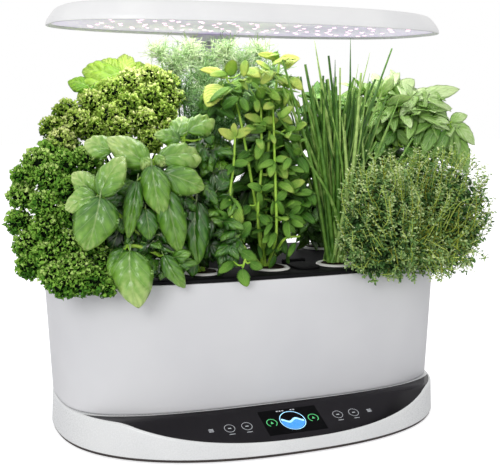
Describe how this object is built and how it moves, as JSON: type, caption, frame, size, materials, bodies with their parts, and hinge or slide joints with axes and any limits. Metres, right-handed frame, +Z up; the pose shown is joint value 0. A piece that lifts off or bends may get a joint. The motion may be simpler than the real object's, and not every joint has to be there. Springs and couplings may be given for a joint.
{
  "type": "countertop hydroponic garden",
  "caption": "Indoor herb garden: an oval water bowl on a base with a sloping touch panel, herbs in pods on a grow deck, and a lamp hood on a telescoping mast.",
  "frame": {"origin": "on the table, under the middle of the base", "axes": "+Z up, +X to the user's right, the control panel faces -Y"},
  "size_m": [0.5228, 0.297, 0.4305],
  "materials": {
    "trim": "dark matte moulded plastic",
    "shell": "white satin-gloss moulded plastic",
    "bowl": "pale grey-white satin moulded plastic",
    "hood": "white satin moulded plastic",
    "panel": "piano-black gloss panel",
    "display_glass": "black display glass",
    "steel": "bright steel",
    "circuit_board": "green circuit board",
    "inlet_black": "black moulded socket",
    "mast": "satin painted extrusion",
    "deck": "black fine-grained moulded plastic",
    "foot_rubber": "soft black rubber",
    "pump": "dark grey moulded plastic",
    "filter_foam": "open-cell foam",
    "basket": "off-white moulded plastic",
    "float": "orange moulded float",
    "sponge": "damp peat sponge",
    "lamp_white": "white lamp panel",
    "heat_sink": "bare extruded aluminium",
    "parsley_leaf": "curly dark green leaf",
    "basil_leaf": "glossy puckered green leaf",
    "mint_leaf": "matte green serrated leaf",
    "chive_blade": "smooth green blade",
    "thyme_leaf": "small grey-green leaf",
    "dill_leaf": "feathery blue-green leaf",
    "thai_basil_leaf": "light green pointed leaf"
  },
  "bodies": {
    "base": {"base_pan": "trim", "base_shell": "shell", "control_panel": "panel", "display_window": "display_glass", "display_module": "steel", "touch_board": "circuit_board", "main_board": "circuit_board", "power_inlet": "inlet_black", "mast_socket": "shell", "mast_screw_1": "steel", "mast_screw_2": "steel", "mast_outer": "mast", "bowl": "bowl", "grow_deck": "deck", "cover_pin": "steel", "pump_body": "pump", "pump_cover": "pump", "pump_filter": "filter_foam", "riser_tube": "pump", "float_guide": "basket", "foot_1": "foot_rubber", "foot_2": "foot_rubber", "foot_3": "foot_rubber", "foot_4": "foot_rubber", "pod_basket_1": "basket", "pod_sponge_1": "sponge", "pod_basket_2": "basket", "pod_sponge_2": "sponge", "pod_basket_3": "basket", "pod_sponge_3": "sponge", "pod_basket_4": "basket", "pod_sponge_4": "sponge", "pod_basket_5": "basket", "pod_sponge_5": "sponge", "pod_basket_6": "basket", "pod_sponge_6": "sponge", "pod_basket_7": "basket", "pod_sponge_7": "sponge", "pod_basket_8": "basket", "pod_sponge_8": "sponge", "pod_basket_9": "basket", "pod_sponge_9": "sponge", "parsley_front": "parsley_leaf", "parsley_back": "parsley_leaf", "basil_front": "basil_leaf", "basil_back": "basil_leaf", "mint": "mint_leaf", "chives": "chive_blade", "thyme": "thyme_leaf", "dill": "dill_leaf", "thai_basil": "thai_basil_leaf"},
    "mast_middle": {"mast_middle": "mast"},
    "hood": {"mast_inner": "mast", "hood_bracket": "lamp_white", "hood_shell": "hood", "led_panel": "lamp_white", "heat_sink": "heat_sink"},
    "fill_cover": {"fill_cover": "deck"},
    "pump_impeller": {"pump_impeller": "basket"},
    "water_float": {"water_float": "float"}
  },
  "joints": [
    {"name": "mast_middle_slide", "type": "slide", "parent": "base", "child": "mast_middle", "axis": [0, 0, 1], "range_m": [0, 0.208]},
    {"name": "hood_slide", "type": "slide", "parent": "mast_middle", "child": "hood", "axis": [0, 0, 1], "range_m": [0, 0.208]},
    {"name": "fill_cover_hinge", "type": "hinge", "parent": "base", "child": "fill_cover", "pos_m": [0.037, -0.0388, 0.1707], "axis": [-1, 0, 0], "range_deg": [0, 85]},
    {"name": "pump_impeller_spin", "type": "hinge", "parent": "base", "child": "pump_impeller", "pos_m": [0.158, 0.008, 0.0526], "axis": [0, 0, 1], "continuous": true},
    {"name": "water_float_slide", "type": "slide", "parent": "base", "child": "water_float", "axis": [0, 0, 1], "range_m": [0, 0.084]}
  ]
}
